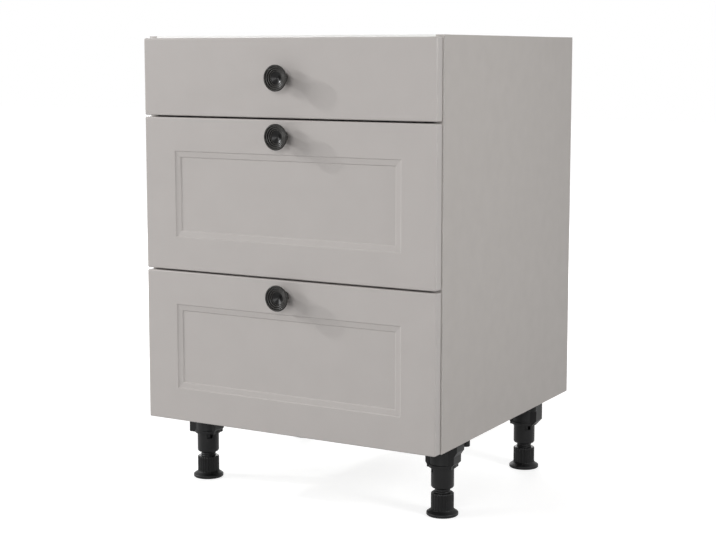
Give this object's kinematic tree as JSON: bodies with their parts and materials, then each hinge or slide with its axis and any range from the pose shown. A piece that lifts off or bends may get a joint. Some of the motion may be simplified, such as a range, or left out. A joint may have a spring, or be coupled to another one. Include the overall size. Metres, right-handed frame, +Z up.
{
  "type": "kitchen base cabinet",
  "caption": "Kitchen base cabinet on adjustable feet, with one shallow plain drawer over deep framed drawers on full-extension runners, each with a round knob.",
  "frame": {"origin": "on the floor, at the middle of the footprint of the whole cabinet with its knobs", "axes": "+Z up, the drawer fronts face -Y, +X to the right seen from the front"},
  "size_m": [0.6, 0.611, 0.842],
  "materials": {
    "grey_laminate": "matt melamine-faced board",
    "grey_lacquer": "smooth satin foil or lacquer on fibreboard",
    "white_board": "matt melamine-faced board",
    "white_hardboard": "white-faced thin fibreboard",
    "galvanised_steel": "zinc-coated rolled sheet",
    "zinc_plated_steel": "zinc-plated",
    "white_steel": "powder-coated",
    "black_metal": "black, softly polished on the edges",
    "black_plastic": "moulded polypropylene"
  },
  "bodies": {
    "carcass": {"side_panel_left": "grey_laminate", "side_panel_right": "grey_laminate", "bottom_panel": "white_board", "top_rail_front": "white_board", "top_rail_rear": "white_board", "back_panel": "white_hardboard", "cabinet_rail_bottom_left": "galvanised_steel", "cabinet_rail_bottom_right": "galvanised_steel", "cabinet_rail_middle_left": "galvanised_steel", "cabinet_rail_middle_right": "galvanised_steel", "cabinet_rail_top_left": "galvanised_steel", "cabinet_rail_top_right": "galvanised_steel", "foot_plate_front_left": "black_plastic", "foot_plate_front_right": "black_plastic", "foot_plate_rear_left": "black_plastic", "foot_plate_rear_right": "black_plastic", "foot_sleeve_front_left": "black_plastic", "foot_sleeve_front_right": "black_plastic", "foot_sleeve_rear_left": "black_plastic", "foot_sleeve_rear_right": "black_plastic"},
    "drawer_bottom": {"drawer_front_bottom": "grey_lacquer", "drawer_side_bottom_left": "white_steel", "drawer_side_bottom_right": "white_steel", "drawer_bottom_bottom": "white_board", "drawer_back_bottom": "white_board", "knob_bottom": "black_metal", "knob_screw_bottom": "zinc_plated_steel", "gallery_rod_bottom_left": "white_steel", "gallery_rod_bottom_right": "white_steel"},
    "middle_rails_bottom": {"middle_rail_bottom_left": "galvanised_steel", "middle_rail_bottom_right": "galvanised_steel"},
    "drawer_middle": {"drawer_front_middle": "grey_lacquer", "drawer_side_middle_left": "white_steel", "drawer_side_middle_right": "white_steel", "drawer_bottom_middle": "white_board", "drawer_back_middle": "white_board", "knob_middle": "black_metal", "knob_screw_middle": "zinc_plated_steel", "gallery_rod_middle_left": "white_steel", "gallery_rod_middle_right": "white_steel"},
    "middle_rails_middle": {"middle_rail_middle_left": "galvanised_steel", "middle_rail_middle_right": "galvanised_steel"},
    "drawer_top": {"drawer_front_top": "grey_lacquer", "drawer_side_top_left": "white_steel", "drawer_side_top_right": "white_steel", "drawer_bottom_top": "white_board", "drawer_back_top": "white_board", "knob_top": "black_metal", "knob_screw_top": "zinc_plated_steel"},
    "middle_rails_top": {"middle_rail_top_left": "galvanised_steel", "middle_rail_top_right": "galvanised_steel"},
    "adjuster_front_left": {"foot_adjuster_front_left": "black_plastic"},
    "adjuster_front_right": {"foot_adjuster_front_right": "black_plastic"},
    "adjuster_rear_left": {"foot_adjuster_rear_left": "black_plastic"},
    "adjuster_rear_right": {"foot_adjuster_rear_right": "black_plastic"}
  },
  "joints": [
    {"name": "drawer_bottom_slide", "type": "slide", "parent": "carcass", "child": "drawer_bottom", "axis": [0, -1, 0], "range_m": [0, 0.48]},
    {"name": "middle_rails_bottom_slide", "type": "slide", "parent": "carcass", "child": "middle_rails_bottom", "axis": [0, -1, 0], "range_m": [0, 0.24]},
    {"name": "drawer_middle_slide", "type": "slide", "parent": "carcass", "child": "drawer_middle", "axis": [0, -1, 0], "range_m": [0, 0.48]},
    {"name": "middle_rails_middle_slide", "type": "slide", "parent": "carcass", "child": "middle_rails_middle", "axis": [0, -1, 0], "range_m": [0, 0.24]},
    {"name": "drawer_top_slide", "type": "slide", "parent": "carcass", "child": "drawer_top", "axis": [0, -1, 0], "range_m": [0, 0.48]},
    {"name": "middle_rails_top_slide", "type": "slide", "parent": "carcass", "child": "middle_rails_top", "axis": [0, -1, 0], "range_m": [0, 0.24]},
    {"name": "foot_height_front_left", "type": "slide", "parent": "carcass", "child": "adjuster_front_left", "axis": [0, 0, -1], "range_m": [-0.008, 0.02]},
    {"name": "foot_height_front_right", "type": "slide", "parent": "carcass", "child": "adjuster_front_right", "axis": [0, 0, -1], "range_m": [-0.008, 0.02]},
    {"name": "foot_height_rear_left", "type": "slide", "parent": "carcass", "child": "adjuster_rear_left", "axis": [0, 0, -1], "range_m": [-0.008, 0.02]},
    {"name": "foot_height_rear_right", "type": "slide", "parent": "carcass", "child": "adjuster_rear_right", "axis": [0, 0, -1], "range_m": [-0.008, 0.02]}
  ],
  "couplings": [
    {"joint": "middle_rails_bottom_slide", "follows": "drawer_bottom_slide", "ratio": 0.5},
    {"joint": "middle_rails_middle_slide", "follows": "drawer_middle_slide", "ratio": 0.5},
    {"joint": "middle_rails_top_slide", "follows": "drawer_top_slide", "ratio": 0.5}
  ]
}
